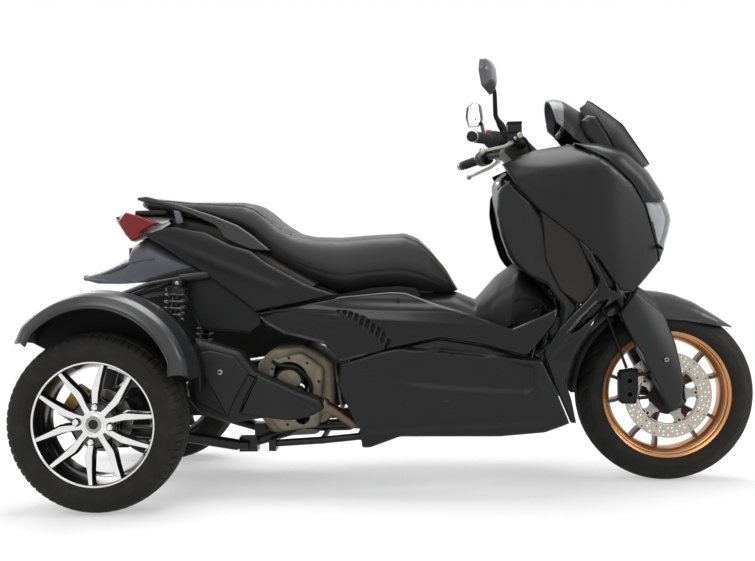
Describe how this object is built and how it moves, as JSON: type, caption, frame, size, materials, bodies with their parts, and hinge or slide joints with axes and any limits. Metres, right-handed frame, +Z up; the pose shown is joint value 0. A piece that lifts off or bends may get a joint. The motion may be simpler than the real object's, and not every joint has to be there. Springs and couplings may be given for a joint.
{
  "type": "motorized trike",
  "caption": "Scooter-bodied motor trike: a steered front wheel, a rear axle with arched fenders, stepped seat, fairing and screen.",
  "frame": {"origin": "on the ground at the middle of the length and width, the wheels standing on it", "axes": "+X ahead, +Y to the rider's left, +Z up"},
  "size_m": [2.2184, 0.86, 1.2635],
  "materials": {
    "body_matte": "matte black painted plastic",
    "body_gloss": "gloss black plastic",
    "inner_plastic": "grained black plastic",
    "fender_satin": "satin dark grey",
    "grey_plastic": "satin slate grey",
    "frame_paint": "satin black paint",
    "engine_alloy": "painted champagne grey casting",
    "case_black": "black painted casting",
    "pipe_steel": "heat-browned steel",
    "muffler_black": "matte heatproof black",
    "rim_silver": "machined faces over gloss black",
    "rim_bronze": "bronze anodised",
    "disc_steel": "ground steel",
    "tyre_rubber": "black rubber",
    "grip_rubber": "black rubber",
    "seat_leather": "black grained vinyl",
    "fork_black": "satin black",
    "spring_steel": "grey coated spring",
    "caliper_gold": "gold-brown casting",
    "caliper_black": "black casting",
    "lamp_clear": "clear lens",
    "lamp_red": "red lens",
    "screen_smoke": "smoked acrylic",
    "mirror_shell": "black shell, silvered face",
    "hose_rubber": "black rubber hose",
    "radiator_core": "black cored radiator"
  },
  "bodies": {
    "chassis": {"frame": "frame_paint", "engine": "engine_alloy", "transmission_case": "case_black", "air_box": "inner_plastic", "exhaust_pipe": "pipe_steel", "muffler": "muffler_black", "rear_axle": "frame_paint", "rear_shocks": "spring_steel", "rear_calipers": "caliper_gold", "rear_fender_right": "fender_satin", "rear_fender_left": "fender_satin", "cowls": "body_matte", "duct_trims": "body_gloss", "footboards": "body_matte", "side_covers": "body_gloss", "tail_covers": "body_matte", "nose_panel": "body_matte", "headlamps": "lamp_clear", "leg_shield": "inner_plastic", "tunnel_cover": "inner_plastic", "grab_rail": "fender_satin", "tail_lamp": "lamp_red", "tail_mudguard": "grey_plastic", "storage_box": "inner_plastic", "meter_housing": "fender_satin", "windscreen": "screen_smoke", "radiator": "radiator_core"},
    "steering": {"fork_legs": "fork_black", "fork_covers": "fender_satin", "front_fender": "fender_satin", "front_caliper": "caliper_black", "handlebar": "frame_paint", "grips": "grip_rubber", "hand_controls": "inner_plastic", "mirrors": "mirror_shell", "brake_hose": "hose_rubber"},
    "front_wheel": {"front_tyre": "tyre_rubber", "front_rim": "rim_bronze", "front_disc": "disc_steel"},
    "rear_wheel_right": {"rear_tyre_right": "tyre_rubber", "rear_rim_right": "rim_silver"},
    "rear_wheel_left": {"rear_tyre_left": "tyre_rubber", "rear_rim_left": "rim_silver"},
    "seat": {"seat": "seat_leather"},
    "stand": {"centre_stand": "frame_paint"}
  },
  "joints": [
    {"name": "steering_turn", "type": "hinge", "parent": "chassis", "child": "steering", "pos_m": [0.80175, 0, 0.2745], "axis": [-0.4462, 0, 0.8949], "range_deg": [-35, 35]},
    {"name": "front_wheel_spin", "type": "hinge", "parent": "steering", "child": "front_wheel", "pos_m": [0.83475, 0, 0.2745], "axis": [0, 1, 0], "continuous": true},
    {"name": "rear_wheel_right_spin", "type": "hinge", "parent": "chassis", "child": "rear_wheel_right", "pos_m": [-0.85125, -0.336, 0.258], "axis": [0, 1, 0], "continuous": true},
    {"name": "rear_wheel_left_spin", "type": "hinge", "parent": "chassis", "child": "rear_wheel_left", "pos_m": [-0.85125, 0.336, 0.258], "axis": [0, 1, 0], "continuous": true},
    {"name": "seat_lift", "type": "hinge", "parent": "chassis", "child": "seat", "pos_m": [0.17875, 0, 0.6], "axis": [0, 1, 0], "range_deg": [0, 40]},
    {"name": "stand_swing", "type": "hinge", "parent": "chassis", "child": "stand", "pos_m": [-0.10325, 0, 0.172], "axis": [0, -1, 0], "range_deg": [0, 30]}
  ]
}
